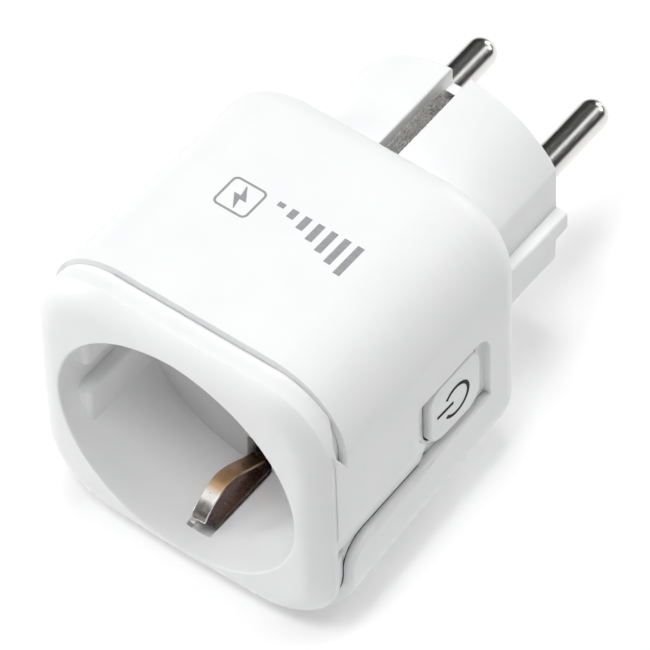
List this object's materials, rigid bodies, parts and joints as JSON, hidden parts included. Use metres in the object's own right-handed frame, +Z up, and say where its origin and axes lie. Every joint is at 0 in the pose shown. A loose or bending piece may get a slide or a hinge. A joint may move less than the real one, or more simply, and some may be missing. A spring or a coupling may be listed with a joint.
{
  "type": "plug-in power meter",
  "caption": "Cube-shaped plug-in power meter and switch: round mains socket with side earth clips in front, two-pin plug behind, push button on one side.",
  "frame": {"origin": "centre of the plug base end face, on the plug axis between the two pins", "axes": "+Y along the plug axis into the wall outlet, +Z up through the plain top of the housing, +X towards the side with the push button"},
  "size_m": [0.0504, 0.0833, 0.049],
  "materials": {
    "white_plastic": "satin-gloss moulded white, smooth",
    "button_plastic": "satin-gloss moulded, slightly greyer than the housing",
    "inner_plastic": "moulded, dull",
    "dark_plastic": "moulded, dull black",
    "pin_nickel": "polished nickel plating",
    "strap_nickel": "nickel-plated strip, rolled grain",
    "clip_bronze": "phosphor bronze, bright plated tip",
    "brass": "plain stamped brass",
    "steel": "zinc-plated",
    "circuit_board": "green solder mask",
    "led_lens": "clear lens",
    "relay_case": "moulded blue case",
    "ferrite": "dark ferrite with yellow tape",
    "capacitor_sleeve": "shrink sleeve, dark blue",
    "varistor_coating": "dipped epoxy, blue",
    "fuse_ceramic": "sand-coloured ceramic",
    "chip_epoxy": "black moulding compound",
    "radio_shield": "tinned shield can"
  },
  "bodies": {
    "housing": {"socket_insert": "white_plastic", "top_cover": "white_plastic", "bottom_cover": "white_plastic", "plug_base": "white_plastic", "line_pin": "pin_nickel", "neutral_pin": "pin_nickel", "tact_switch": "steel", "button_board": "circuit_board", "board_link": "brass", "status_led": "led_lens", "shutter_spring": "steel", "shutter_retainer": "inner_plastic", "retainer_screws": "steel", "contact_carrier": "dark_plastic", "contact_line": "brass", "contact_neutral": "brass", "earth_strap_top": "strap_nickel", "earth_strap_bottom": "strap_nickel", "earth_bridge": "steel", "main_board": "circuit_board", "board_screws": "steel", "relay": "relay_case", "power_transformer": "ferrite", "bulk_capacitor": "capacitor_sleeve", "output_capacitor": "capacitor_sleeve", "varistor": "varistor_coating", "fuse": "fuse_ceramic", "current_shunt": "strap_nickel", "metering_chip": "chip_epoxy", "radio_module": "radio_shield"},
    "button": {"button_cap": "button_plastic", "switch_stem": "dark_plastic"},
    "shutter": {"shutter_rotor": "inner_plastic"},
    "clip_top": {"earth_clip_top": "clip_bronze"},
    "clip_bottom": {"earth_clip_bottom": "clip_bronze"}
  },
  "joints": [
    {"name": "button_press", "type": "slide", "parent": "housing", "child": "button", "axis": [-1, 0, 0], "range_m": [0, 0.0005], "stiffness_N_per_m": 2500, "springref_m": -0.0002},
    {"name": "shutter_turn", "type": "hinge", "parent": "housing", "child": "shutter", "pos_m": [0, -0.0436, 0], "axis": [0, 1, 0], "range_deg": [0, 36], "stiffness_Nm_per_rad": 0.004, "springref_deg": -11.46, "deforming": ["shutter_spring"]},
    {"name": "clip_top_flex", "type": "hinge", "parent": "housing", "child": "clip_top", "pos_m": [0, -0.0466, 0.0176], "axis": [-1, 0, 0], "range_deg": [0, 7], "stiffness_Nm_per_rad": 0.05, "springref_deg": -1.15},
    {"name": "clip_bottom_flex", "type": "hinge", "parent": "housing", "child": "clip_bottom", "pos_m": [0, -0.0466, -0.0176], "axis": [1, 0, 0], "range_deg": [0, 7], "stiffness_Nm_per_rad": 0.05, "springref_deg": -1.15}
  ]
}
